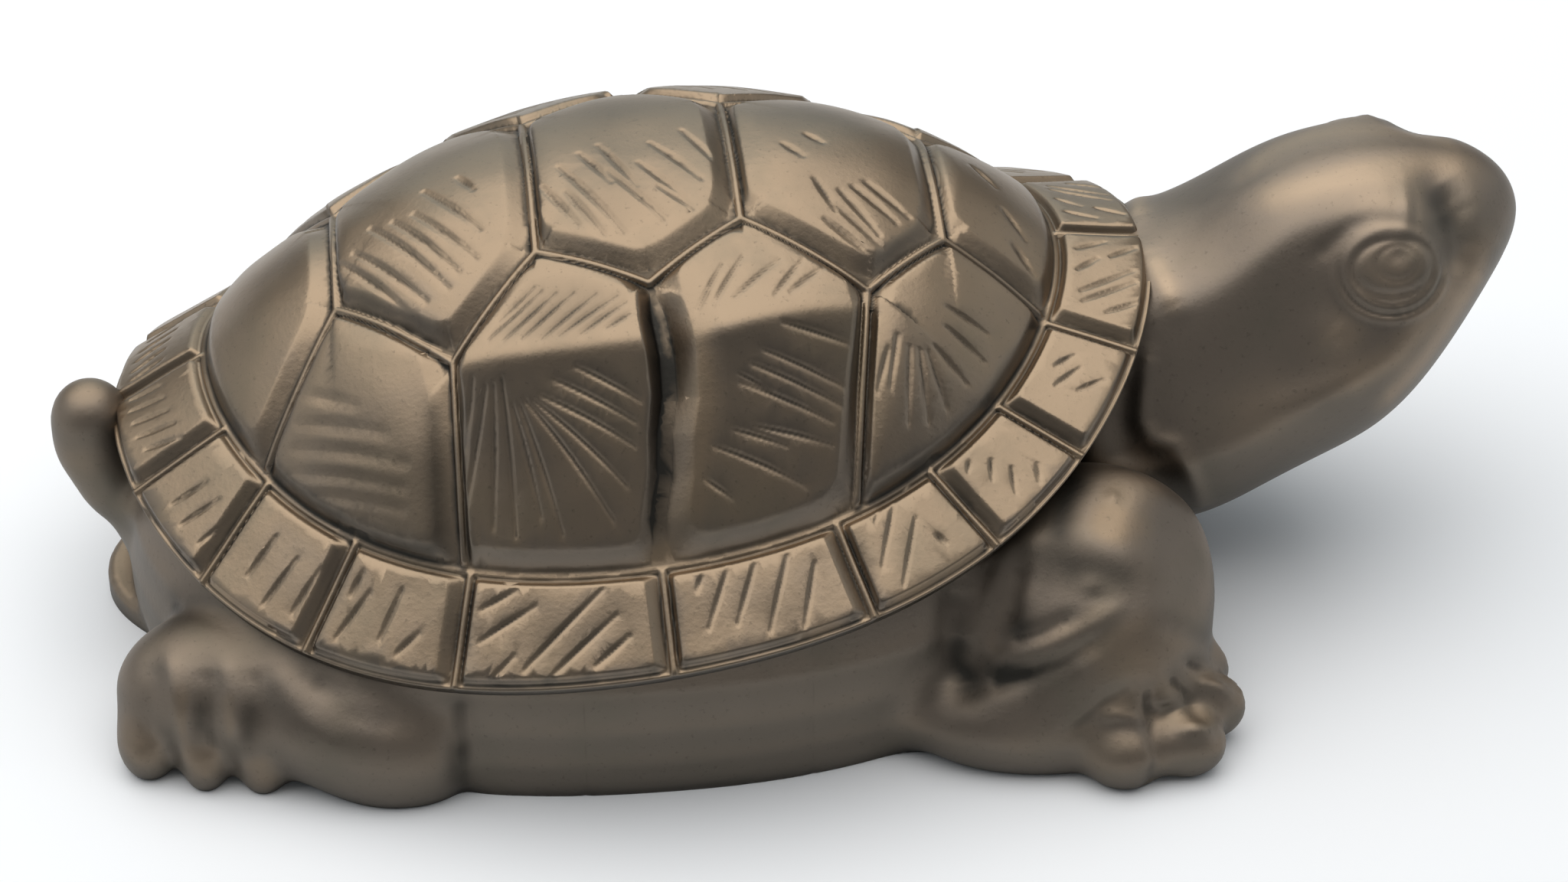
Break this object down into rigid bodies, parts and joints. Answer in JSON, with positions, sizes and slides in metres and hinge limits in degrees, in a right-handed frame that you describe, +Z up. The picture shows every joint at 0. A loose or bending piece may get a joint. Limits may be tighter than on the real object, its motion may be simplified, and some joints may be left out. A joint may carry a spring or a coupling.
{
  "type": "turtle figurine",
  "caption": "Small cast brass turtle paperweight with a domed plated shell, raised head, stub tail and a flat filed underside.",
  "frame": {"origin": "on the flat underside, below the middle of the shell", "axes": "+X towards the head, +Y towards the turtle's left side, +Z up"},
  "size_m": [0.1098, 0.0664, 0.0377],
  "materials": {
    "bronze_patina": "satin cast brass with a brown bronze patina, worn lighter on the raised plates and dark in the grooves"
  },
  "bodies": {
    "root": {"turtle": "bronze_patina"}
  },
  "joints": []
}
